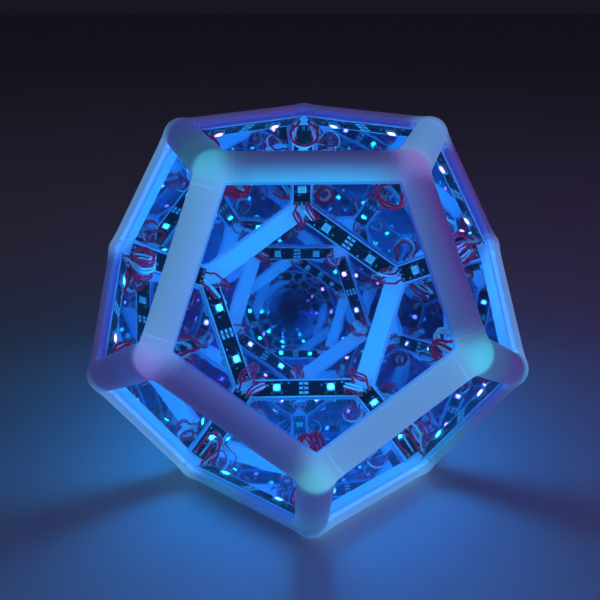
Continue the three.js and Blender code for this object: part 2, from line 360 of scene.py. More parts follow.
def layer_line_group() -> bpy.types.NodeTree:
    """Fine printed layers with slow wander: a height for bump, and a mask for colour and roughness."""
    tree = new_group(
        "layer_lines",
        {"Pitch": 0.0003, "Wander": 0.25, "Grain": 900.0},
        {"Height": "NodeSocketFloat", "Mask": "NodeSocketFloat"},
    )
    given, out = tree.nodes["Group Input"], tree.nodes["Group Output"]
    place = tree.nodes.new("ShaderNodeTexCoord")
    parts = tree.nodes.new("ShaderNodeSeparateXYZ")
    link(tree, place.outputs["Object"], parts.inputs[0])
    slow = tree.nodes.new("ShaderNodeTexNoise")
    slow.inputs["Scale"].default_value = 60
    link(tree, place.outputs["Object"], slow.inputs["Vector"])
    turns = math_node(tree, "DIVIDE", parts.outputs["Z"], given.outputs["Pitch"])
    drift = math_node(tree, "MULTIPLY", slow.outputs["Fac"], given.outputs["Wander"])
    phase = math_node(tree, "MULTIPLY", math_node(tree, "ADD", turns, drift), 2 * math.pi)
    wave = math_node(tree, "SINE", phase)
    fine = tree.nodes.new("ShaderNodeTexNoise")
    link(tree, place.outputs["Object"], fine.inputs["Vector"])
    link(tree, given.outputs["Grain"], fine.inputs["Scale"])
    grain = math_node(tree, "MULTIPLY", fine.outputs["Fac"], 1.6)
    link(tree, math_node(tree, "ADD", math_node(tree, "MULTIPLY", wave, 0.25), grain), out.inputs["Height"])
    link(tree, slow.outputs["Fac"], out.inputs["Mask"])
    return tree


def speckle_group() -> bpy.types.NodeTree:
    """Small uneven patches of wear and dust: a mask, and a height for bump."""
    tree = new_group(
        "speckle", {"Size": 400.0, "Amount": 0.5}, {"Mask": "NodeSocketFloat", "Height": "NodeSocketFloat"}
    )
    given, out = tree.nodes["Group Input"], tree.nodes["Group Output"]
    place = tree.nodes.new("ShaderNodeTexCoord")
    noise = tree.nodes.new("ShaderNodeTexNoise")
    noise.inputs["Detail"].default_value = 4
    link(tree, place.outputs["Object"], noise.inputs["Vector"])
    link(tree, given.outputs["Size"], noise.inputs["Scale"])
    raised = math_node(tree, "SUBTRACT", noise.outputs["Fac"], 0.42, clamp=True)
    strong = math_node(tree, "MULTIPLY", raised, 4)
    mask = math_node(tree, "MULTIPLY", strong, given.outputs["Amount"], clamp=True)
    link(tree, mask, out.inputs["Mask"])
    link(tree, noise.outputs["Fac"], out.inputs["Height"])
    return tree


def add_group(tree: bpy.types.NodeTree, group: bpy.types.NodeTree, **values: float) -> bpy.types.Node:
    """Places a node group in a material and sets its inputs."""
    node = tree.nodes.new("ShaderNodeGroup")
    node.node_tree = group
    for label, value in values.items():
        node.inputs[label].default_value = value
    return node


def spread(
    tree: bpy.types.NodeTree, mask: bpy.types.NodeSocket, low: float, high: float
) -> bpy.types.NodeSocket:
    """Maps a mask from 0..1 to a range."""
    node = tree.nodes.new("ShaderNodeMapRange")
    node.inputs["To Min"].default_value, node.inputs["To Max"].default_value = low, high
    link(tree, mask, node.inputs["Value"])
    return node.outputs[0]


def bump(
    tree: bpy.types.NodeTree, height: bpy.types.NodeSocket, depth: float, strength: float
) -> bpy.types.NodeSocket:
    """A Bump node fed by a height; returns its normal."""
    node = tree.nodes.new("ShaderNodeBump")
    node.inputs["Distance"].default_value, node.inputs["Strength"].default_value = depth, strength
    link(tree, height, node.inputs["Height"])
    return node.outputs[0]


def tinted(
    tree: bpy.types.NodeTree, mask: bpy.types.NodeSocket, low: Colour, high: Colour
) -> bpy.types.NodeSocket:
    """A colour that goes from one to another with a mask."""
    node = tree.nodes.new("ShaderNodeMix")
    node.data_type = "RGBA"
    node.inputs["A"].default_value, node.inputs["B"].default_value = (*low, 1), (*high, 1)
    link(tree, mask, node.inputs["Factor"])
    return node.outputs["Result"]


# ---------------------------------------------------------------- finishes


@dataclass(frozen=True)
class PrintedPlastic:
    """Translucent white printed plastic, lit from inside: the glow is the mesh's own attribute."""

    colour: Colour = (0.54, 0.66, 0.74)
    shade: Colour = (0.44, 0.56, 0.68)
    rough: tuple[float, float] = (0.38, 0.56)
    glow: float = 1.0

    def build(self, name: str, layers: bpy.types.NodeTree) -> bpy.types.Material:
        """Makes the material."""
        material, tree, shader = new_material(name)
        lines = add_group(tree, layers)
        mask = lines.outputs["Mask"]
        link(tree, tinted(tree, mask, self.shade, self.colour), shader.inputs["Base Color"])
        link(tree, spread(tree, mask, *self.rough), shader.inputs["Roughness"])
        link(tree, bump(tree, lines.outputs["Height"], 0.00005, 0.35), shader.inputs["Normal"])
        attribute = tree.nodes.new("ShaderNodeAttribute")
        attribute.attribute_name = "glow"
        link(tree, attribute.outputs["Color"], shader.inputs["Emission Color"])
        shader.inputs["Emission Strength"].default_value = self.glow
        return material


@dataclass(frozen=True)
class Plain:
    """A moulded, printed or plated finish with fine uneven patches, and an emission that is a lit lens's
    own light or, on the wires, painted light.
    """

    colour: Colour
    shade: Colour
    rough: tuple[float, float]
    metallic: float = 0.0
    coat: float = 0.0
    size: float = 400.0
    depth: float = 0.00002
    emission: Colour = (0.0, 0.0, 0.0)
    strength: float = 0.0

    def build(self, name: str, speckle: bpy.types.NodeTree) -> bpy.types.Material:
        """Makes the material."""
        material, tree, shader = new_material(name)
        patches = add_group(tree, speckle, Size=self.size)
        mask = patches.outputs["Mask"]
        link(tree, tinted(tree, mask, self.colour, self.shade), shader.inputs["Base Color"])
        link(tree, spread(tree, mask, *self.rough), shader.inputs["Roughness"])
        link(tree, bump(tree, patches.outputs["Height"], self.depth, 0.4), shader.inputs["Normal"])
        shader.inputs["Metallic"].default_value = self.metallic
        shader.inputs["Coat Weight"].default_value = self.coat
        shader.inputs["Emission Color"].default_value = (*self.emission, 1)
        shader.inputs["Emission Strength"].default_value = self.strength
        return material


@dataclass(frozen=True)
class ClearFace:
    """A clear pane's outer face or edge, or the one-way mirror film on its inner face.

    front is the share that is mirrored for what is on the side the face looks to, and back for
    what comes from behind it.
    """

    front: float
    back: float
    tint: Colour
    mirror: Colour
    rough: float = 0.015
    wave: float = 0.0

    def build(self, name: str, speckle: bpy.types.NodeTree) -> bpy.types.Material:
        """Makes the material."""
        material, tree, shader = new_material(name)
        tree.nodes.remove(shader)
        clear = tree.nodes.new("ShaderNodeBsdfTransparent")
        clear.inputs["Color"].default_value = (*self.tint, 1)
        gloss = tree.nodes.new("ShaderNodeBsdfGlossy")
        gloss.inputs["Color"].default_value = (*self.mirror, 1)
        patches = add_group(tree, speckle, Size=90.0, Amount=0.35)
        link(
            tree,
            spread(tree, patches.outputs["Mask"], self.rough, self.rough * 3),
            gloss.inputs["Roughness"],
        )
        if self.wave:
            ripple = add_group(tree, speckle, Size=14.0)
            link(tree, bump(tree, ripple.outputs["Height"], self.wave, 1.0), gloss.inputs["Normal"])
        mix = tree.nodes.new("ShaderNodeMixShader")
        side = tree.nodes.new("ShaderNodeNewGeometry")
        link(tree, spread(tree, side.outputs["Backfacing"], self.front, self.back), mix.inputs[0])
        link(tree, clear.outputs[0], mix.inputs[1])
        link(tree, gloss.outputs[0], mix.inputs[2])
        link(tree, mix.outputs[0], tree.nodes["Material Output"].inputs["Surface"])
        return material


def new_material(name: str) -> tuple[bpy.types.Material, bpy.types.NodeTree, bpy.types.Node]:
    """A fresh material, its node tree and its Principled shader."""
    material = bpy.data.materials.new(name)
    material.use_nodes = True
    return material, material.node_tree, material.node_tree.nodes["Principled BSDF"]


class Finishes:
    """Every material of the lamp, made once."""

    def __init__(self) -> None:
        """Builds the shared groups and the materials."""
        layers, speckle = layer_line_group(), speckle_group()
        self.frame = PrintedPlastic().build("frame_plastic", layers)
        self.acrylic = ClearFace(0.04, 0.02, (0.90, 0.95, 1.0), (0.8, 0.9, 1.0)).build("acrylic", speckle)
        self.film = ClearFace(
            0.80, 0.08, (0.62, 0.82, 1.0), (0.74, 0.90, 1.0), wave=0.00015
        ).build("mirror_film", speckle)
        self.board = Plain(
            (0.012, 0.013, 0.017), (0.03, 0.032, 0.04), (0.3, 0.5), size=900
        ).build("board", speckle)
        self.mark = Plain((0.9, 0.91, 0.93), (0.75, 0.77, 0.8), (0.5, 0.7)).build("printed_mark", speckle)
        self.package = Plain(
            (0.82, 0.83, 0.84), (0.7, 0.72, 0.74), (0.3, 0.45)
        ).build("led_package", speckle)
        self.chip = Plain((0.45, 0.40, 0.30), (0.3, 0.27, 0.2), (0.35, 0.5)).build("small_part", speckle)
        self.copper = Plain(
            (0.92, 0.88, 0.82), (0.8, 0.76, 0.68), (0.25, 0.4), metallic=0.25
        ).build("pad", speckle)
        self.solder = Plain(
            (0.72, 0.73, 0.75), (0.5, 0.51, 0.53), (0.12, 0.3), metallic=1.0
        ).build("solder", speckle)
        sleeve = {"rough": (0.25, 0.4), "coat": 0.3}
        # Painted light: a faint red emission on the red wires stands in for light falling on them.
        red_wire_painted_light = {"emission": (0.9, 0.02, 0.12), "strength": 0.08}
        self.red = Plain(
            (0.90, 0.03, 0.12), (0.7, 0.02, 0.08), **sleeve, **red_wire_painted_light
        ).build("red_wire", speckle)
        # Painted light: a faint cyan emission on the pale wires stands in for the LEDs' cyan light falling
        # on them.
        pale_wire_painted_light = {"emission": (0.1, 0.7, 0.8), "strength": 0.12}
        self.pale = Plain(
            (0.80, 0.82, 0.86), (0.66, 0.7, 0.76), **sleeve, **pale_wire_painted_light
        ).build("pale_wire", speckle)
        self.black = Plain(
            (0.02, 0.02, 0.023), (0.04, 0.04, 0.045), (0.4, 0.6)
        ).build("inlet_black", speckle)
        self.steel = Plain(
            (0.6, 0.61, 0.63), (0.45, 0.46, 0.48), (0.2, 0.35), metallic=1.0
        ).build("steel", speckle)
        self.lens = {hue: self.lens_finish(hue).build(f"lens_{hue.name.lower()}", speckle) for hue in Hue}

    @staticmethod
    def lens_finish(hue: Hue) -> Plain:
        """The clear gel over an LED's chips, lit in its colour or dull yellow where it is off."""
        if hue is Hue.OFF:
            return Plain((0.75, 0.72, 0.45), (0.6, 0.57, 0.35), (0.1, 0.2), coat=0.5)
        return Plain(
            (0.8, 0.85, 0.9), (0.7, 0.75, 0.8), (0.1, 0.2), emission=hue.value, strength=LENS_STRENGTH
        )


# ---------------------------------------------------------------- repeats and tubes by Geometry Nodes


def new_geometry_tree(name: str, inputs: dict[str, tuple[str, object]]) -> bpy.types.NodeTree:
    """A Geometry Nodes tree with named inputs.

    Args:
        name: The tree's name.
        inputs: Each input's name, with its socket type and its value.

    Returns:
        The tree, with a Geometry input and output and the group's two end nodes.
    """
    tree = bpy.data.node_groups.new(name, "GeometryNodeTree")
    tree.interface.new_socket("Geometry", in_out="INPUT", socket_type="NodeSocketGeometry")
    for label, (kind, value) in inputs.items():
        socket = tree.interface.new_socket(label, in_out="INPUT", socket_type=kind)
        if value is not None:
            socket.default_value = value
    tree.interface.new_socket("Geometry", in_out="OUTPUT", socket_type="NodeSocketGeometry")
    tree.nodes.new("NodeGroupInput")
    tree.nodes.new("NodeGroupOutput")
    return tree


def repeat_tree() -> bpy.types.NodeTree:
    """Puts a copy of a part on each point, turned by the point's own angles and a little askew."""
    tree = new_geometry_tree(
        "repeat_part",
        {
            "Part": ("NodeSocketObject", None),
            "Scale": ("NodeSocketFloat", 1.0),
            "Askew": ("NodeSocketFloat", 0.0),
            "Seed": ("NodeSocketInt", 7),
            "Material": ("NodeSocketMaterial", None),
        },
    )
    given, out = tree.nodes["Group Input"], tree.nodes["Group Output"]
    part = tree.nodes.new("GeometryNodeObjectInfo")
    turn = tree.nodes.new("GeometryNodeInputNamedAttribute")
    turn.data_type = "FLOAT_VECTOR"
    turn.inputs["Name"].default_value = "turn"
    copies = tree.nodes.new("GeometryNodeInstanceOnPoints")
    askew = tree.nodes.new("FunctionNodeRandomValue")
    askew.data_type = "FLOAT_VECTOR"
    low = tree.nodes.new("ShaderNodeVectorMath")
    high = tree.nodes.new("ShaderNodeVectorMath")
    tilt = tree.nodes.new("GeometryNodeRotateInstances")
    real = tree.nodes.new("GeometryNodeRealizeInstances")
    paint = tree.nodes.new("GeometryNodeSetMaterial")
    for node, sign in ((low, -1.0), (high, 1.0)):
        node.operation = "SCALE"
        node.inputs[0].default_value = (0, 0, sign)
        link(tree, given.outputs["Askew"], node.inputs["Scale"])
    link(tree, low.outputs[0], askew.inputs["Min"])
    link(tree, high.outputs[0], askew.inputs["Max"])
    link(tree, given.outputs["Seed"], askew.inputs["Seed"])
    link(tree, given.outputs["Part"], part.inputs["Object"])
    link(tree, given.outputs["Geometry"], copies.inputs["Points"])
    link(tree, part.outputs["Geometry"], copies.inputs["Instance"])
    link(tree, turn.outputs["Attribute"], copies.inputs["Rotation"])
    link(tree, given.outputs["Scale"], copies.inputs["Scale"])
    link(tree, copies.outputs[0], tilt.inputs["Instances"])
    link(tree, askew.outputs["Value"], tilt.inputs["Rotation"])
    link(tree, tilt.outputs[0], real.inputs[0])
    link(tree, real.outputs[0], paint.inputs["Geometry"])
    link(tree, given.outputs["Material"], paint.inputs["Material"])
    link(tree, paint.outputs[0], out.inputs[0])
    return tree


def tube_tree() -> bpy.types.NodeTree:
    """Turns chains of edges into smooth round tubes with closed ends."""
    tree = new_geometry_tree(
        "wire_tube",
        {
            "Radius": ("NodeSocketFloat", 0.0007),
            "Spacing": ("NodeSocketFloat", 0.001),
            "Sides": ("NodeSocketInt", 8),
            "Material": ("NodeSocketMaterial", None),
        },
    )
    given, out = tree.nodes["Group Input"], tree.nodes["Group Output"]
    curve = tree.nodes.new("GeometryNodeMeshToCurve")
    kind = tree.nodes.new("GeometryNodeCurveSplineType")
    kind.spline_type = "CATMULL_ROM"
    even = tree.nodes.new("GeometryNodeResampleCurve")
    even.mode = "LENGTH"
    ring = tree.nodes.new("GeometryNodeCurvePrimitiveCircle")
    skin = tree.nodes.new("GeometryNodeCurveToMesh")
    smooth = tree.nodes.new("GeometryNodeSetShadeSmooth")
    real = tree.nodes.new("GeometryNodeRealizeInstances")
    paint = tree.nodes.new("GeometryNodeSetMaterial")
    link(tree, given.outputs["Geometry"], curve.inputs["Mesh"])
    link(tree, curve.outputs[0], kind.inputs["Curve"])
    link(tree, kind.outputs[0], even.inputs["Curve"])
    link(tree, given.outputs["Spacing"], even.inputs["Length"])
    link(tree, given.outputs["Radius"], ring.inputs["Radius"])
    link(tree, given.outputs["Sides"], ring.inputs["Resolution"])
    link(tree, even.outputs[0], skin.inputs["Curve"])
    link(tree, ring.outputs[0], skin.inputs["Profile Curve"])
    skin.inputs["Fill Caps"].default_value = True
    link(tree, skin.outputs[0], smooth.inputs["Geometry"])
    link(tree, smooth.outputs[0], real.inputs[0])
    link(tree, real.outputs[0], paint.inputs["Geometry"])
    link(tree, given.outputs["Material"], paint.inputs["Material"])
    link(tree, paint.outputs[0], out.inputs[0])
    return tree


def grown(
    name: str, carrier: bpy.types.Mesh, tree: bpy.types.NodeTree, **values: object
) -> bpy.types.Object:
    """Runs a Geometry Nodes tree on a carrier mesh and keeps the result as a plain mesh.

    Args:
        name: The piece's name.
        carrier: The points or edges that the tree works on.
        tree: The tree.
        values: The tree's inputs, by name.

    Returns:
        The piece.
    """
    holder = make_object(name + "_carrier", carrier)
    modifier = holder.modifiers.new("grow", "NODES")
    modifier.node_group = tree
    for item in tree.interface.items_tree:
        if item.in_out == "INPUT" and item.name in values:
            modifier[item.identifier] = values[item.name]
    evaluated = holder.evaluated_get(bpy.context.evaluated_depsgraph_get())
    mesh = bpy.data.meshes.new_from_object(evaluated)
    holder.modifiers.remove(modifier)
    bpy.data.objects.remove(holder)
    mesh.name = name
    return make_object(name, mesh)


def point_carrier(name: str, places: Iterable[Matrix]) -> bpy.types.Mesh:
    """Loose points at the given places, each with its angles in the attribute turn."""
    places = list(places)
    mesh = bpy.data.meshes.new(name)
    mesh.from_pydata([m.translation for m in places], [], [])
    turn = mesh.attributes.new("turn", "FLOAT_VECTOR", "POINT")
    for value, place in zip(turn.data, places):
        value.vector = place.to_euler()
    return mesh


def path_carrier(name: str, paths: Iterable[Loop]) -> bpy.types.Mesh:
    """Chains of edges, one for each path."""
    points, edges = [], []
    for path in paths:
        edges += [(len(points) + i, len(points) + i + 1) for i in range(len(path) - 1)]
        points += path
    mesh = bpy.data.meshes.new(name)
    mesh.from_pydata(points, edges, [])
    return mesh


# ---------------------------------------------------------------- the frame of beams and corners


@dataclass(frozen=True)
class Source:
    """One LED as a source of light inside the lamp."""

    place: Vector
    hue: Hue


def soft_least(values: Sequence[float], reach: float) -> float:
    """The least of some distances, blended where two are within reach of each other."""
    least = values[0]
    for value in values[1:]:
        near = max(reach - abs(least - value), 0) / reach
        least = min(least, value) - near * near * reach / 4
    return least


@dataclass
class Section:
    """The outline of a beam across its length: y sideways, z outwards. Metres."""

    back: float = 8.3 * MM
    back_depth: float = 5.3 * MM
    slot_half: float = 1.3 * MM
    slot_inset: float = 3.2 * MM
    rim: float = 0.25 * MM
    lip_half: float = 6.1 * MM
    lip_depth: float = 5.3 * MM
    channel_half: float = 5.3 * MM
    channel_floor: float = 4.6 * MM
    round_steps: int = 18
    tilt: float = math.atan(1 / PHI)

    def from_slot(self, depth: float, offset: float) -> tuple[float, float]:
        """A point by its depth along the +y ideal face and its offset out from that face."""
        return (
            depth * math.cos(self.tilt) + offset * math.sin(self.tilt),
            offset * math.cos(self.tilt) - depth * math.sin(self.tilt),
        )

    def half(self, channel: bool) -> list[tuple[float, float, bool]]:
        """The +y half from the middle of the inner side to the middle of the back.

        Args:
            channel: Whether the inner side has the LED strip's channel.

        Returns:
            Points (y, z, whether the point is on the round back).
        """
        soft = self.rim
        sine, cosine = math.sin(self.tilt), math.cos(self.tilt)
        low, high = PANE_SHIFT - self.slot_half, PANE_SHIFT + self.slot_half
        flank = (self.lip_half - low * sine) / cosine
        over = high + self.back_depth * cosine
        rim_depth = self.back_depth * sine + math.sqrt(self.back**2 - over**2)
        points = [(0.0, -self.lip_depth), (self.channel_half, -self.lip_depth)]
        if channel:
            points = [
                (0.0, -self.channel_floor),
                (self.channel_half - soft, -self.channel_floor),
                (self.channel_half, -self.channel_floor - soft / 2),
                (self.channel_half, -self.lip_depth + soft / 2),
                (self.channel_half + soft / 2, -self.lip_depth),
            ]
        points += [
            (self.lip_half - soft, -self.lip_depth),
            (self.lip_half, -self.lip_depth + soft),
            self.from_slot(flank, low - soft),
            self.from_slot(flank - soft, low),
            self.from_slot(self.slot_inset, low),
            self.from_slot(self.slot_inset, high),
            self.from_slot(rim_depth - soft, high),
        ]
        start = math.pi / 2 + self.tilt - math.asin((over + soft) / self.back)
        backs = []
        for i in range(self.round_steps + 1):
            turn = start * (1 - i / self.round_steps)
            backs.append((self.back * math.sin(turn), self.back * math.cos(turn) - self.back_depth, True))
        return [(y, z, False) for y, z in points] + backs

    def whole(self, channel: bool) -> list[tuple[float, float, bool]]:
        """The whole outline, up the +y side and down the -y side."""
        half = self.half(channel)
        return half + [(-y, z, r) for y, z, r in reversed(half[1:-1])]


@dataclass
class FrameBuilder:
    """Beams and corners of the frame, smooth-backed, with their panes' slots."""

    solid: Solid
    finishes: Finishes
    sources: list[Source]
    inlet: "InletBuilder"
    section: Section = field(default_factory=Section)
    seam: float = 9.2 * MM
    gap: float = 0.03 * MM
    collar: float = 8.4 * MM
    blend: float = 1.2 * MM
    rows: int = 15

    def bare_share(self, place: Vector) -> float:
        """How much a point belongs to a beam without a strip, from 0 to 1."""
        share = 0.0
        for a, b, _ in EDGES:
            if not has_strip(a, b):
                start, along = self.solid.vertices[a], self.solid.vertices[b] - self.solid.vertices[a]
                part = (place - start).dot(along) / along.length_squared
                part = min(max(part, BARE_ENDS[0]), BARE_ENDS[1])
                share = max(share, 1 - (place - start - part * along).length / BARE_REACH)
        return share

    def glow(self, place: Vector, out: Vector) -> Colour:
        """The light of the LEDs that comes through the plastic at a point.

        Args:
            place: The point.
            out: The direction out of the lamp there.

        Returns:
            The colour: brighter where the back turns aside from its ridge, and dim on inner sides.
        """
        total = Vector((0.0, 0.0, 0.0))
        for source in self.sources:
            away = (place - source.place).length
            share = GLOW_SHARES.get(source.hue, 1.0)
            total += share * Vector(source.hue.value) / (1 + (away / GLOW_REACH) ** GLOW_FALL)
        radial = (place - self.solid.centre).normalized()
        flank = 1 - max(0.0, radial.dot(out))
        light = Vector(GLOW_BASE) + GLOW_GAIN * total + self.bare_share(place) * Vector(BARE_GLOW)
        start, end = (self.solid.vertices[name] for name in LIT_BEAM)
        inside = (end - start).length / 2 - (place - (start + end) / 2).length
        if inside > 0:
            turned = min(1.0, max(0.0, LIT_RISE * (out.dot(Vector(LIT_SIDE)) - LIT_FROM)))
            light += Vector(LIT_GLOW) * turned * min(1.0, inside / LIT_FADE)
        for name, colour in CORNER_SPOTS.items():
            away = (place - self.solid.vertices[name]).length
            light += Vector(colour) / (1 + (away / SPOT_REACH) ** SPOT_FALL)
        outer = OUTER_SHARE + FLANK_GAIN * min(flank, FLANK_MOST)
        facing = INNER_SHARE if radial.dot(out) < INNER_TURN else outer
        return tuple(light * facing)

    def paint_glow(self, mesh: bpy.types.Mesh) -> None:
        """Stores each vertex's glow in the attribute glow."""
        layer = mesh.color_attributes.new("glow", "FLOAT_COLOR", "POINT")
        for vertex, value in zip(mesh.vertices, layer.data):
            value.color = (*self.glow(vertex.co, vertex.normal), 1)

    def finish(self, name: str, bm: bmesh.types.BMesh, node: str) -> bpy.types.Object:
        """Makes the piece that stands for a CAD node."""
        for vertex in bm.verts:
            vertex.co.z = max(vertex.co.z, 0.0)
        mesh = mesh_from(name, bm)
        self.paint_glow(mesh)
        mesh.materials.append(self.finishes.frame)
        piece = make_object(name, mesh)
        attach(piece, BODY)
        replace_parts(piece, node)
        return piece

    def stretch(self, bm: bmesh.types.BMesh, a: str, b: str, start: float, end: float, near: bool) -> None:
        """Adds a straight length of beam.

        Args:
            bm: The mesh to add to.
            a: The vertex that the distances count from.
            b: The vertex at the beam's other end.
            start: Where the length starts.
            end: Where it ends.
            near: Whether its start is a closed, softened end.
        """
        turn = self.solid.beam(a, b)
        outline = self.section.whole(has_strip(a, b))
        soft = self.section.rim
        places = [(start + (end - start - soft) * i / self.rows, 1.0) for i in range(1, self.rows)]
        first = [(start, END_SHRINK), (start + soft, 1.0)] if near else [(start, 1.0)]
        places = first + places + [(end - soft, 1.0), (end, END_SHRINK)]
        loops = [[turn @ Vector((x, y * k, z * k)) for y, z, _ in outline] for x, k in places]
        add_loops(bm, loops, near=near)

    def beam(self, a: str, b: str, node: str) -> bpy.types.Object:
        """One free beam between its two corners."""
        bm = bmesh.new()
        start = self.seam + self.gap / 2
        self.stretch(bm, a, b, start, self.solid.edge - start, near=True)
        if {a, b} == set(INLET_BEAM):
            bm = self.cut(bm, self.inlet.cutter())
        return self.finish(node.replace("beam", "rod"), bm, node)

    @staticmethod
    def cut(bm: bmesh.types.BMesh, cutter: bpy.types.Object) -> bmesh.types.BMesh:
        """Takes a cutter out of a mesh, and deletes the cutter."""
        whole = make_object("uncut", mesh_from("uncut", bm))
        modifier = whole.modifiers.new("cut", "BOOLEAN")
        modifier.object, modifier.operation, modifier.solver = cutter, "DIFFERENCE", "EXACT"
        evaluated = whole.evaluated_get(bpy.context.evaluated_depsgraph_get())
        mesh = bpy.data.meshes.new_from_object(evaluated)
        result = bmesh.new()
        result.from_mesh(mesh)
        for used in (whole, cutter):
            bpy.data.objects.remove(used)
        return result

    def settle(self, point: Vector, axes: Sequence[Vector], radius: float) -> Vector:
        """Moves a point onto the blended surface round three arms.

        Args:
            point: The point, from the corner's vertex.
            axes: The arms' directions.
            radius: The arms' radius.

        Returns:
            The moved point.
        """

        def distance(p: Vector) -> float:
            """How far a point is outside the blended arms."""
            return soft_least([(p - max(p.dot(a), 0) * a).length for a in axes], self.blend) - radius

        for _ in range(SETTLE_STEPS):
            here = distance(point)
            rises = [distance(point + SETTLE_REACH * e) - here for e in Matrix.Identity(3)]
            slope = Vector(rises) / SETTLE_REACH
            point = point - slope * here / max(slope.length_squared, LEAST_SLOPE)
        return point

    def corner_arm(self, bm: bmesh.types.BMesh, vertex: str, towards: str, closed: bool) -> None:
        """Adds one arm of a corner, from the planes where it meets the others to its seam.

        Args:
            bm: The mesh to add to.
            vertex: The corner's vertex.
            towards: The vertex that the arm points to.
            closed: Whether the arm ends at its seam; otherwise its beam goes on from it.
        """
        turn = self.solid.beam(vertex, towards)
        here = self.solid.vertices[vertex]
        axes = [(self.solid.vertices[n] - here).normalized() for n in self.solid.neighbours(vertex)]
        out = self.solid.outward(vertex)
        hub = here - out * self.section.back_depth / out.dot(turn.col[2].to_3d())
        end = self.seam - self.gap / 2
        outline = self.section.whole(True)
        soft = self.section.rim
        loops = []
        for i in range(ARM_ROWS + 1):
            loop = []
            for y, z, is_back in outline:
                mitre = abs(y) / PHI - z / PHI**2
                x = mitre + (end - soft - mitre) * i / ARM_ROWS
                p = turn @ Vector((x, y, z))
                if is_back:
                    swell = self.collar if closed or i < ARM_ROWS else self.section.back
                    p = hub + self.settle(p - hub, axes, swell)
                loop.append(p)
            loops.append(loop)
        if closed:
            loops.append([turn @ Vector((end, y * END_SHRINK, z * END_SHRINK)) for y, z, _ in outline])
        add_loops(bm, loops, near=False, far=closed)

    def corner(self, vertex: str, node: str) -> bpy.types.Object:
        """One free corner with three arms."""
        bm = bmesh.new()
        for towards in self.solid.neighbours(vertex):
            self.corner_arm(bm, vertex, towards, closed=True)
        return self.finish(node.replace("corner", "joint"), bm, node)

    def base_part(self, a: str, b: str, node: str) -> bpy.types.Object:
        """A base corner in one piece with the beam after it."""
        bm = bmesh.new()
        merged = has_strip(a, b)
        for towards in self.solid.neighbours(a):
            self.corner_arm(bm, a, towards, closed=towards != b or not merged)
        arm_end = self.seam - self.gap / 2
        start = arm_end - self.section.rim if merged else arm_end
        self.stretch(bm, a, b, start, self.solid.edge - self.seam - self.gap / 2, near=not merged)
        return self.finish(node.replace("segment", "part"), bm, node)

    def build(self) -> None:
        """Makes the whole frame."""
        for a, b, node in EDGES:
            piece = self.base_part(a, b, node) if a[0] == "B" else self.beam(a, b, node)
            LOG.info("frame piece %s", piece.name)
        for ring, stem in CORNER_NODES.items():
            for i in range(5):
                piece = self.corner(f"{ring}{i}", f"{stem}{i}")
                LOG.info("frame piece %s", piece.name)


# ---------------------------------------------------------------- panes


@dataclass
class PaneBuilder:
    """The twelve one-way mirror panes. Metres."""

    solid: Solid
    finishes: Finishes
    half: float = 1.0 * MM
    inset: float = 3.5 * MM
    chamfer: float = 0.2 * MM
    film_turn: float = -0.9  # how squarely a face looks into the lamp to carry the film

    def pane(self, corners: Sequence[str], node: str) -> bpy.types.Object:
        """One pane with chamfered edges, its mirror film on the inner face.

        Args:
            corners: The five vertices round the face, in order.
            node: The CAD node that the pane stands for.

        Returns:
            The piece.
        """
        points = [self.solid.vertices[c] for c in corners]
        middle = sum(points, Vector()) / 5
        normal = (middle - self.solid.centre).normalized()
        if (points[0] - middle).cross(points[1] - middle).dot(normal) < 0:
            points.reverse()
        radius = (points[0] - middle).length
        loops = []
        for inset, height in (
            (self.inset + self.chamfer, -self.half),
            (self.inset, -self.half + self.chamfer),
            (self.inset, self.half - self.chamfer),
            (self.inset + self.chamfer, self.half),
        ):
            share = 1 - inset / (radius * math.cos(math.pi / 5))
            loops.append([middle + (p - middle) * share + normal * (PANE_SHIFT + height) for p in points])
        bm = bmesh.new()
        add_loops(bm, loops)
        mesh = mesh_from(node.replace("pane", "mirror"), bm, sharp=20)
        mesh.materials.append(self.finishes.acrylic)
        mesh.materials.append(self.finishes.film)
        for face in mesh.polygons:
            face.material_index = 1 if face.normal.dot(normal) < self.film_turn else 0
        piece = make_object(mesh.name, mesh)
        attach(piece, BODY)
        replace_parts(piece, node)
        return piece

    def build(self) -> None:
        """Makes all the panes."""
        faces = [([f"T{i}" for i in range(5)], "pane_top"), ([f"B{i}" for i in range(5)], "pane_base")]
        for i in range(5):
            j, k = (i + 1) % 5, (i + 4) % 5
            faces.append(([f"T{i}", f"T{j}", f"U{j}", f"L{i}", f"U{i}"], f"pane_upper_{i}"))
            faces.append(([f"B{k}", f"B{i}", f"L{i}", f"U{i}", f"L{k}"], f"pane_lower_{i}"))
        for corners, node in faces:
            LOG.info("pane %s", self.pane(corners, node).name)


# ---------------------------------------------------------------- LED strips


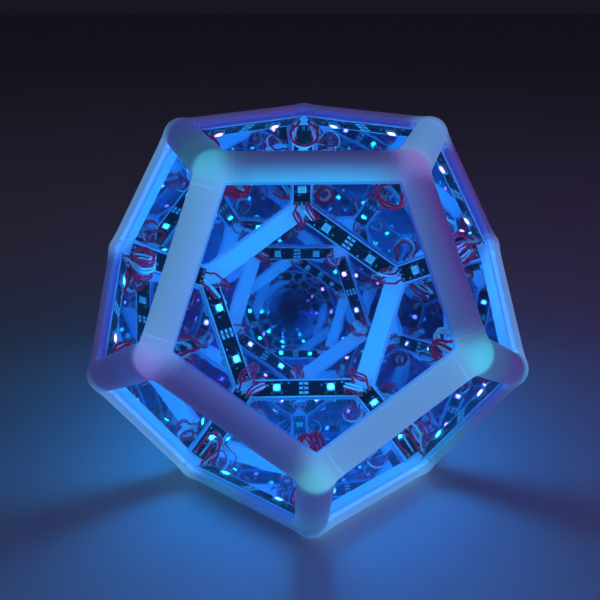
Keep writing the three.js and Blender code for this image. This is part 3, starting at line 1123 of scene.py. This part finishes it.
@dataclass
class StripBuilder:
    """Short LED strips with their packages, pads and small parts. Metres."""

    solid: Solid
    finishes: Finishes
    section: Section = field(default_factory=Section)
    gap: float = 0.3 * MM
    half_length: float = 31.8 * MM
    half_width: float = 5.0 * MM
    board: float = 0.4 * MM
    led_pitch: float = 100 / 3 * MM
    led_half: float = 2.5 * MM
    led_height: float = 1.6 * MM
    lane: float = 3.1 * MM
    end_pad: float = 30.2 * MM
    middle_pad: float = 1.6 * MM
    capacitor_at: tuple[float, float] = (-5.6 * MM, 1.6 * MM)  # from each LED, as is the next
    resistor_at: tuple[float, float] = (5.4 * MM, -2.2 * MM)
    askew: float = 0.03

    def mount(self, a: str, b: str, x: float = 0.0, y: float = 0.0, quarter: int = 0) -> Matrix:
        """A place on a strip's face, from its middle: x along it, z towards the lamp's centre."""
        back = Vector((self.solid.edge / 2, 0, -self.section.channel_floor - self.gap))
        flip = Matrix.Rotation(math.pi, 4, "X")
        spin = Matrix.Rotation(quarter * math.pi / 2, 4, "Z")
        shift = Matrix.Translation((x, y, self.board))
        return self.solid.beam(a, b) @ Matrix.Translation(back) @ flip @ shift @ spin

    def led_places(self) -> list[tuple[Matrix, Hue]]:
        """Every LED's place and colour, along the trail."""
        found = []
        for (a, b), hues in STRIP_HUES.items():
            for side, hue in zip((-1, 1), hues):
                found.append((self.mount(a, b, side * self.led_pitch / 2), hue))
        return found

    def sources(self) -> list[Source]:
        """The lit LEDs as sources of light."""
        return [Source(place.translation, hue) for place, hue in self.led_places() if hue is not Hue.OFF]

    # ---- the parts that repeat; each stands on the board's face, z up ----

    def prototype(self, name: str, draw: Callable[[bmesh.types.BMesh], None]) -> bpy.types.Object:
        """Makes a part for the tree to repeat, away from the scene."""
        bm = bmesh.new()
        draw(bm)
        return bpy.data.objects.new(name, mesh_from(name, bm))

    def draw_board(self, bm: bmesh.types.BMesh) -> None:
        """The flexible board, with softened corners."""
        x, y, soft = self.half_length, self.half_width, 0.05 * MM
        heights = ((x, y, -self.board), (x, y, -soft), (x - soft, y - soft, 0))
        add_loops(bm, [round_box(a, b, 0.5 * MM, z) for a, b, z in heights])

    def draw_package(self, bm: bmesh.types.BMesh) -> None:
        """A square LED package with a round reflector cup."""
        half, top = self.led_half, self.led_height
        soft = 0.25 * MM
        loops = [
            round_box(half, half, soft, 0),
            round_box(half, half, soft, top - soft / 2),
            round_box(half - soft / 2, half - soft / 2, soft, top),
            circle(2.05 * MM, top, 32),
            circle(1.80 * MM, top - 0.35 * MM, 32),
        ]
        add_loops(bm, loops)

    def draw_lens(self, bm: bmesh.types.BMesh) -> None:
        """The low dome of gel in the cup."""
        top = self.led_height
        steps = ((1.72, -0.32), (1.72, -0.2), (1.35, -0.1), (0.75, -0.03), (0.2, 0.0))
        add_loops(bm, [circle(r * MM, top + h * MM, 20) for r, h in steps])

    def draw_legs(self, bm: bmesh.types.BMesh) -> None:
        """The six soldered legs of a package."""
        for x in (-1.6, 0, 1.6):
            for y in (-2.75, 2.75):
                block(bm, Vector((0.9, 0.9, 0.4)) * MM, Vector((x, y, 0.2)) * MM, 0.12 * MM)

    def draw_pad(self, bm: bmesh.types.BMesh) -> None:
        """A flat copper pad."""
        block(bm, Vector((2.5, 1.7, 0.06)) * MM, Vector((0, 0, 0.03)) * MM, 0.03 * MM)

    def draw_solder(self, bm: bmesh.types.BMesh) -> None:
        """A blob of solder."""
        steps = ((1.15, 0.02), (1.1, 0.25), (0.9, 0.6), (0.55, 0.85), (0.15, 0.95))
        add_loops(bm, [circle(r * MM, h * MM, 14) for r, h in steps])

    def draw_chip(self, bm: bmesh.types.BMesh) -> None:
        """The body of a small capacitor."""
        block(bm, Vector((1.2, 1.0, 0.7)) * MM, Vector((0, 0, 0.35)) * MM, 0.08 * MM)

    def draw_chip_ends(self, bm: bmesh.types.BMesh) -> None:
        """The two plated ends of a small capacitor."""
        for x in (-0.85, 0.85):
            block(bm, Vector((0.45, 1.06, 0.74)) * MM, Vector((x, 0, 0.37)) * MM, 0.08 * MM)

    def draw_marks(self, bm: bmesh.types.BMesh) -> None:
        """Printed corner lines round an LED, and an arrow."""
        height = 0.03 * MM
        for sx in (-1, 1):
            for sy in (-1, 1):
                for wide, deep, x, y in ((1.3, 0.16, 2.6, 3.7), (0.16, 1.3, 3.3, 3.1)):
                    size = Vector((wide * MM, deep * MM, height))
                    block(bm, size, Vector((sx * x, sy * y, 0.015)) * MM, 0.01 * MM)
        arrow = [Vector((6.9, 3.0, 0)), Vector((8.1, 3.6, 0)), Vector((6.9, 4.2, 0))]
        add_loops(bm, [[p * MM for p in arrow], [p * MM + Vector((0, 0, height)) for p in arrow]])

    def draw_cut_line(self, bm: bmesh.types.BMesh) -> None:
        """The printed line across the middle, where a strip can be cut."""
        for y in (-4.3, -1.55, 1.55, 4.3):
            block(bm, Vector((0.18, 0.8, 0.03)) * MM, Vector((0, y, 0.045)) * MM, 0.01 * MM)

    def spots(self, xs: Iterable[float], ys: Iterable[float], quarter: int = 0) -> list[Matrix]:
        """The same places on every strip."""
        xs, ys = list(xs), list(ys)
        return [self.mount(a, b, x, y, quarter) for a, b in STRIPS for x in xs for y in ys]

    def build(self, tree: bpy.types.NodeTree) -> None:
        """Makes every strip piece.

        Args:
            tree: The tree that repeats a part on points.
        """
        leds = self.led_places()
        every_led = [m for m, _ in leds]
        lanes = (-self.lane, 0.0, self.lane)
        near = self.led_pitch / 2
        middle = self.spots((0,), (0,))
        middle_pads = self.spots((-self.middle_pad, self.middle_pad), lanes)
        ends = self.spots((-self.end_pad, self.end_pad), lanes)
        x, y = self.capacitor_at
        capacitors = self.spots((-near + x, near + x), (y,), 1)
        x, y = self.resistor_at
        resistors = self.spots((-near + x, near + x), (y,))
        paint = self.finishes
        rows = [
            ("strip_boards", self.draw_board, middle, paint.board, Slot.STRIP),
            ("led_packages", self.draw_package, every_led, paint.package, Slot.LED),
            ("led_legs", self.draw_legs, every_led, paint.solder, Slot.PAD),
            ("middle_pads", self.draw_pad, middle_pads, paint.copper, Slot.PAD),
            ("end_pads", self.draw_pad, ends, paint.copper, Slot.PAD),
            ("solder_joints", self.draw_solder, ends, paint.solder, Slot.PAD),
            ("capacitors", self.draw_chip, capacitors, paint.chip, Slot.STRIP),
            ("capacitor_ends", self.draw_chip_ends, capacitors, paint.solder, Slot.PAD),
            ("resistors", self.draw_chip, resistors, paint.black, Slot.STRIP),
            ("resistor_ends", self.draw_chip_ends, resistors, paint.solder, Slot.PAD),
            ("board_marks", self.draw_marks, self.spots((-near, near), (0,)), paint.mark, Slot.STRIP),
            ("cut_lines", self.draw_cut_line, middle, paint.mark, Slot.STRIP),
        ]
        for hue in Hue:
            places = [m for m, h in leds if h is hue]
            name = f"led_lenses_{hue.name.lower()}"
            rows.append((name, self.draw_lens, places, paint.lens[hue], Slot.LED))
        for seed, (name, draw, places, material, slot) in enumerate(rows):
            part = self.prototype(name + "_part", draw)
            askew = 0.0 if name in ("strip_boards", "board_marks", "cut_lines") else self.askew
            carrier = point_carrier(name, places)
            piece = grown(name, carrier, tree, Part=part, Askew=askew, Seed=seed, Material=material)
            bpy.data.objects.remove(part)
            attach(piece, BODY)
            if name == "strip_boards":
                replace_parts(piece, "led_chain_lower", "led_chain_upper")
            LOG.info("strip piece %s: %d copies", name, len(places))


# ---------------------------------------------------------------- wires


@dataclass
class WireBuilder:
    """Three slack wires that loop round a corner from each strip to the next. Metres."""

    strips: StripBuilder
    finishes: Finishes
    radius: float = 0.65 * MM
    spread: float = 1.75 * MM
    loop: tuple[float, float] = (4.6 * MM, 7.2 * MM)
    wander: float = 0.8 * MM
    seed: int = 11
    lift: float = 0.7 * MM  # of a wire's end over its pad
    stub: float = 1.4 * MM  # the straight bit at each end
    stand: tuple[float, float] = (2.0, 3.6)  # mm between the pads and the loop's near side
    lean: float = 0.35
    curl_share: float = 0.85  # a wire that makes an extra turn has a smaller loop
    first_angle: int = 210  # degrees, as are the next two
    open_turn: int = 240
    extra_turn: int = 360
    open_steps: int = 12
    extra_steps: int = 16
    curl_pitch: float = 3.4 * MM
    open_pitch: float = 1.0 * MM
    flatness: float = 0.92

    def path(self, before: str, corner: str, after: str, lane: int, curl: bool, rng: random.Random) -> Loop:
        """The course of one wire.

        Args:
            before: The vertex at the far end of the strip that the wire comes from.
            corner: The corner that it goes round.
            after: The vertex at the far end of the strip that it goes to.
            lane: Which pad it starts on, from -1 to 1.
            curl: Whether it makes a whole extra turn.
            rng: The source of its small irregularities.

        Returns:
            Points from pad to pad.
        """
        strips = self.strips
        side = strips.lane * lane
        ends = [
            strips.mount(before, corner, strips.end_pad, side),
            strips.mount(corner, after, -strips.end_pad, side),
        ]
        start, finish = (m @ Vector((0, 0, self.lift)) for m in ends)
        rise = [(m.to_3x3() @ Vector((0, 0, 1))).normalized() for m in ends]
        inward = -strips.solid.outward(corner)
        across = (finish - start).normalized()
        aside = inward.cross(across).normalized()
        radius = rng.uniform(*self.loop) * (self.curl_share if curl else 1.0)
        lean = rng.uniform(-self.lean, self.lean)
        up = (inward + lean * aside).normalized()
        centre = (start + finish) / 2 + up * (radius + rng.uniform(*self.stand) * MM)
        turns = self.open_turn + (self.extra_turn if curl else 0)
        steps = self.open_steps + (self.extra_steps if curl else 0)
        pitch = self.curl_pitch if curl else self.open_pitch
        points = [start, start + rise[0] * self.stub]
        for i in range(steps + 1):
            angle = math.radians(self.first_angle - turns * i / steps)
            shift = self.spread * lane + (i / steps - 0.5) * pitch
            flutter = rng.uniform(-0.25, 0.25) * self.wander
            points.append(
                centre
                + across * (radius + flutter) * math.cos(angle)
                + up * (radius * self.flatness + flutter) * math.sin(angle)
                + aside * shift
            )
        return points + [finish + rise[1] * self.stub, finish]

    def build(self, tree: bpy.types.NodeTree) -> None:
        """Makes the wires of each colour.

        Args:
            tree: The tree that makes tubes along edges.
        """
        rng = random.Random(self.seed)
        red, pale = [], []
        for i, (before, corner, after) in enumerate(zip(TRAIL, TRAIL[1:], TRAIL[2:])):
            curl = i % 3 != 0
            for lane in (-1, 0, 1):
                path = self.path(before, corner, after, lane, curl, rng)
                (pale if lane == 0 else red).append(path)
        kinds = (
            ("red_wires", red, self.finishes.red, Slot.WIRE_RED),
            ("pale_wires", pale, self.finishes.pale, Slot.WIRE_PALE),
        )
        for name, paths, material, slot in kinds:
            piece = grown(name, path_carrier(name, paths), tree, Radius=self.radius, Material=material)
            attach(piece, BODY)
            LOG.info("%s: %d", name, len(paths))


# ---------------------------------------------------------------- power inlet


@dataclass
class InletBuilder:
    """The slim power socket in the back of a rear beam. Metres."""

    solid: Solid
    finishes: Finishes
    at: float = 46 * MM
    half_length: float = 6.0 * MM
    half_width: float = 1.9 * MM
    bottom: float = -3.0 * MM
    top: float = 3.3 * MM
    mouth: tuple[float, float] = (4.25 * MM, 1.2 * MM)

    def place(self) -> Matrix:
        """The inlet's frame, x along its beam and z out of the lamp."""
        return self.solid.beam(*INLET_BEAM) @ Matrix.Translation((self.at, 0, 0))

    def cutter(self) -> bpy.types.Object:
        """The box that its seat takes out of the beam."""
        clear = 0.3 * MM
        bm = bmesh.new()
        size = Vector((self.half_length + clear, self.half_width + clear, 6 * MM))
        low, high = self.bottom - clear, self.bottom - clear + 2 * size.z
        corners = ((-1, -1), (1, -1), (1, 1), (-1, 1))
        turn = self.place()
        loops = [[turn @ Vector((size.x * a, size.y * b, z)) for a, b in corners] for z in (low, high)]
        add_loops(bm, loops)
        return make_object("inlet_seat", mesh_from("inlet_seat", bm))

    def piece(self, name: str, loops: Sequence[Loop], material: bpy.types.Material) -> bpy.types.Object:
        """Makes one piece of the inlet from loops in its own frame."""
        bm = bmesh.new()
        turn = self.place()
        add_loops(bm, [[turn @ p for p in loop] for loop in loops])
        mesh = mesh_from(name, bm)
        mesh.materials.append(material)
        piece = make_object(name, mesh)
        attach(piece, BODY)
        LOG.info("inlet piece %s", name)
        return piece

    def build(self) -> None:
        """Makes the housing, the metal shell in its mouth, and the tongue."""
        x, y = self.half_length, self.half_width
        mx, my = self.mouth
        soft, floor, shell = 0.3 * MM, self.bottom + 1.0 * MM, 0.2 * MM
        housing = [
            round_box(x, y, 0.8 * MM, self.bottom),
            round_box(x, y, 0.8 * MM, self.top - soft),
            round_box(x - soft, y - soft, 0.8 * MM, self.top),
            round_box(mx + soft / 2, my + soft / 2, my, self.top),
            round_box(mx, my, my - 0.02 * MM, self.top - soft),
            round_box(mx, my, my - 0.02 * MM, floor),
        ]
        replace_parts(self.piece("inlet_housing", housing, self.finishes.black), "power_inlet")
        wall = 0.05 * MM
        low, high = floor + wall, self.top - 2 * soft
        ring = [
            round_box(mx - wall, my - wall, my - 2 * wall, low),
            round_box(mx - wall, my - wall, my - 2 * wall, high),
            round_box(mx - shell, my - shell, my - shell - wall, high),
            round_box(mx - shell, my - shell, my - shell - wall, low + wall),
        ]
        self.piece("inlet_shell", ring, self.finishes.steel)
        tongue = [
            round_box(3.3 * MM, 0.35 * MM, 0.15 * MM, low + 2 * wall),
            round_box(3.3 * MM, 0.35 * MM, 0.15 * MM, 1.9 * MM),
            round_box(3.15 * MM, 0.2 * MM, 0.1 * MM, 2.2 * MM),
        ]
        self.piece("inlet_tongue", tongue, self.finishes.black)


# ---------------------------------------------------------------- stage, light and camera


@dataclass
class Studio:
    """A plain pale floor, soft coloured light, and the camera.

    Angles are in degrees, the camera's distance in edges of the lamp, and the floor in metres.
    """

    solid: Solid
    azimuth: float = -2.094
    elevation: float = 25.920
    distance_edges: float = 4.301
    pan: float = -0.616
    tilt: float = -0.563
    roll: float = -0.231
    focal_share: float = 1.0929
    floor_size: float = 14.0
    haze: Colour = (0.50, 0.48, 0.85)
    haze_strength: float = 0.018

    def camera(self) -> None:
        """Places the camera and makes it the scene's."""
        az, el = math.radians(self.azimuth), math.radians(self.elevation)
        back = Vector((math.sin(az) * math.cos(el), -math.cos(az) * math.cos(el), math.sin(el)))
        right = Vector((math.cos(az), math.sin(az), 0))
        view = Matrix((right, back.cross(right), back))
        turns = ((self.tilt, "X"), (self.pan, "Y"), (self.roll, "Z"))
        for angle, axis in turns:
            view = Matrix.Rotation(math.radians(angle), 3, axis) @ view
        data = bpy.data.cameras.new("camera")
        data.sensor_width = 36
        data.lens = self.focal_share * data.sensor_width
        data.clip_end = 100
        camera = bpy.data.objects.new("camera", data)
        bpy.context.scene.collection.objects.link(camera)
        place = self.solid.centre + back * self.distance_edges * self.solid.edge
        camera.matrix_world = Matrix.Translation(place) @ view.transposed().to_4x4()
        bpy.context.scene.camera = camera

    def floor(self, speckle_finish: bpy.types.Material) -> None:
        """A plain pale floor."""
        half = self.floor_size / 2
        mesh = bpy.data.meshes.new("floor")
        mesh.from_pydata(
            [(-half, -half, 0), (half, -half, 0), (half, half, 0), (-half, half, 0)], [], [(0, 1, 2, 3)]
        )
        mesh.materials.append(speckle_finish)
        floor = make_object("floor", mesh)

    def area_light(
        self, name: str, place: Vector, aim: Vector, size: float, power: float, colour: Colour
    ) -> None:
        """A square soft light."""
        data = bpy.data.lights.new(name, "AREA")
        data.size, data.energy, data.color = size, power, colour
        light = bpy.data.objects.new(name, data)
        turn = (place - aim).to_track_quat("Z", "Y").to_matrix().to_4x4()
        light.matrix_world = Matrix.Translation(place) @ turn
        bpy.context.scene.collection.objects.link(light)

    def inner_light(self, name: str, place: Vector, power: float, colour: Colour) -> None:
        """A small soft ball of light, itself unseen, that stands in for what the LEDs scatter."""
        data = bpy.data.lights.new(name, "POINT")
        data.shadow_soft_size, data.energy, data.color = 0.02, power, colour
        light = bpy.data.objects.new(name, data)
        light.location = place
        light.visible_camera = light.visible_glossy = light.visible_transmission = False
        bpy.context.scene.collection.objects.link(light)

    def build(self, floor_finish: bpy.types.Material) -> None:
        """Sets up floor, lights and camera."""
        self.camera()
        self.floor(floor_finish)
        centre, edge = self.solid.centre, self.solid.edge
        self.area_light("soft_top", Vector((-0.5, -0.3, 1.3)), centre, 1.2, 0.45, (0.80, 0.90, 1.0))
        self.area_light("violet_side", Vector((0.9, -0.5, 0.5)), centre, 0.8, 1.3, (0.50, 0.10, 1.0))
        # This one is outside the lamp, off its front pane; the four after it are inside.
        front = (self.solid.vertices["L0"] + self.solid.vertices["T0"] + self.solid.vertices["T1"]) / 3
        self.inner_light("front_spill", front + 0.45 * (front - centre), 0.04, (0.05, 0.45, 1.0))
        washes = (
            ("wash_low", (0, 0.1, -0.45), 0.22, (0.0, 0.34, 1.0)),
            ("wash_high", (0, 0.3, 0.45), 0.14, (0.0, 0.55, 1.0)),
            ("wash_right", (0.7, 0, 0.2), 0.10, (0.08, 0.28, 1.0)),
            ("wash_left", (-0.7, 0, 0.1), 0.10, (0.02, 0.38, 1.0)),
        )
        for name, offset, power, colour in washes:
            self.inner_light(name, centre + Vector([edge * v for v in offset]), power, colour)
        world = bpy.data.worlds.new("studio")
        world.use_nodes = True
        haze = world.node_tree.nodes["Background"]
        haze.inputs["Color"].default_value = (*self.haze, 1)
        haze.inputs["Strength"].default_value = self.haze_strength
        bpy.context.scene.world = world


def main() -> None:
    """Builds the lamp, class by class, and reports each piece."""
    logging.basicConfig(level=logging.INFO, format="%(name)s: %(message)s")
    solid = Solid.from_frame()
    finishes = Finishes()
    floor = Plain((0.62, 0.62, 0.64), (0.58, 0.58, 0.60), (0.45, 0.6), size=12, depth=0.0002)
    Studio(solid).build(floor.build("floor", bpy.data.node_groups["speckle"]))
    strips = StripBuilder(solid, finishes)
    inlet = InletBuilder(solid, finishes)
    FrameBuilder(solid, finishes, strips.sources(), inlet).build()
    PaneBuilder(solid, finishes).build()
    strips.build(repeat_tree())
    WireBuilder(strips, finishes).build(tube_tree())
    inlet.build()
    scene = bpy.context.scene
    scene.view_settings.view_transform = "Standard"
    scene.cycles.max_bounces = 20
    scene.cycles.glossy_bounces = 12
    scene.cycles.transparent_max_bounces = 24


if __name__ == "__main__":
    main()
